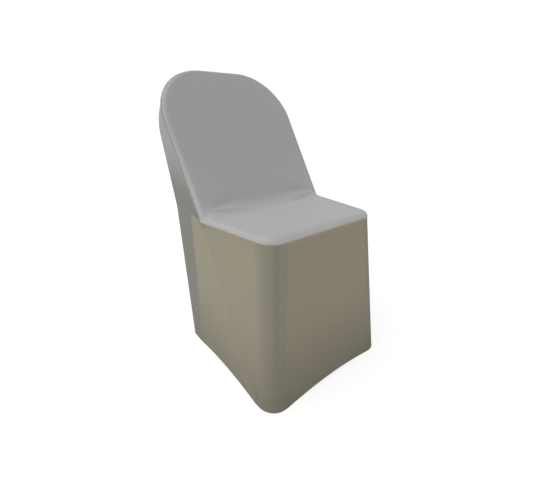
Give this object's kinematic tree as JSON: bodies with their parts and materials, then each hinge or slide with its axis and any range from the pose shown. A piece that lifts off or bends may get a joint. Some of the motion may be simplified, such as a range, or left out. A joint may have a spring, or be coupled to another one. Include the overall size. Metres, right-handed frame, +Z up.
{
  "type": "folding chair",
  "caption": "Steel-tube folding chair wearing a fitted stretch slip cover in two greys, with seam welts and foot pockets; it folds flat",
  "frame": {"origin": "middle of the bounding box on the floor", "axes": "+X to the sitter's left, +Y to the rear (the chair faces -Y), +Z up"},
  "size_m": [0.4606, 0.5558, 0.8141],
  "materials": {
    "tube_paint": "satin grey powder coat on steel tube",
    "seat_plastic": "fine-grained moulded plastic",
    "foot_rubber": "matt black rubber",
    "plug_plastic": "matt black plastic",
    "plate_steel": "zinc-plated steel plate",
    "pin_steel": "bright plated steel",
    "cover_cool": "tight stretch knit, cool grey, faint sheen",
    "cover_warm": "tight stretch knit, warm grey, faint sheen",
    "pocket_cloth": "doubled stretch knit, warm grey",
    "welt_cord": "sewn seam roll, pale grey"
  },
  "bodies": {
    "frame": {"frame_tube": "tube_paint", "front_stretcher": "tube_paint", "back_panel": "seat_plastic", "back_tabs": "tube_paint", "back_screws": "pin_steel", "front_foot_cap_left": "foot_rubber", "front_foot_cap_right": "foot_rubber", "seat_pivot_pins": "pin_steel", "link_pivot_pins": "pin_steel", "cover_inner_panel": "cover_cool", "cover_skirt": "cover_warm", "front_pocket_left": "pocket_cloth", "front_pocket_right": "pocket_cloth", "seat_welt": "welt_cord", "back_welt": "welt_cord"},
    "seat": {"seat_pan": "seat_plastic", "seat_bracket_left": "plate_steel", "seat_bracket_right": "plate_steel", "bracket_screws": "pin_steel", "leg_hanger_left": "plate_steel", "leg_hanger_right": "plate_steel", "hanger_screws": "pin_steel", "leg_pivot_pins": "pin_steel"},
    "rear_legs": {"rear_leg_left": "tube_paint", "rear_leg_right": "tube_paint", "rear_stretcher": "tube_paint", "rear_foot_cap_left": "foot_rubber", "rear_foot_cap_right": "foot_rubber", "leg_plug_left": "plug_plastic", "leg_plug_right": "plug_plastic", "rear_pocket_left": "pocket_cloth", "rear_pocket_right": "pocket_cloth"},
    "links": {"link_left": "plate_steel", "link_right": "plate_steel", "link_studs": "pin_steel"},
    "cover_rear": {"cover_rear_panel": "cover_warm"}
  },
  "joints": [
    {"name": "seat_fold", "type": "hinge", "parent": "frame", "child": "seat", "pos_m": [0, 0.02005, 0.424], "axis": [-1, 0, 0], "range_deg": [0, 123], "deforming": ["cover_inner_panel", "cover_skirt", "seat_welt"]},
    {"name": "leg_fold", "type": "hinge", "parent": "seat", "child": "rear_legs", "pos_m": [0, -0.09495, 0.416], "axis": [1, 0, 0], "range_deg": [0, 64.39], "deforming": ["rear_pocket_left", "rear_pocket_right"]},
    {"name": "link_fold", "type": "hinge", "parent": "frame", "child": "links", "pos_m": [0, 0.01415, 0.4039], "axis": [-1, 0, 0], "range_deg": [0, 130.51]},
    {"name": "cover_swing", "type": "hinge", "parent": "frame", "child": "cover_rear", "pos_m": [0, 0.26483, 0.80093], "axis": [-1, 0, 0], "range_deg": [0, 22.62], "deforming": ["cover_rear_panel"]}
  ],
  "couplings": [
    {"joint": "leg_fold", "follows": "seat_fold", "ratio": 0.52351},
    {"joint": "link_fold", "follows": "seat_fold", "ratio": 1.0611},
    {"joint": "cover_swing", "follows": "seat_fold", "ratio": 0.18387}
  ]
}
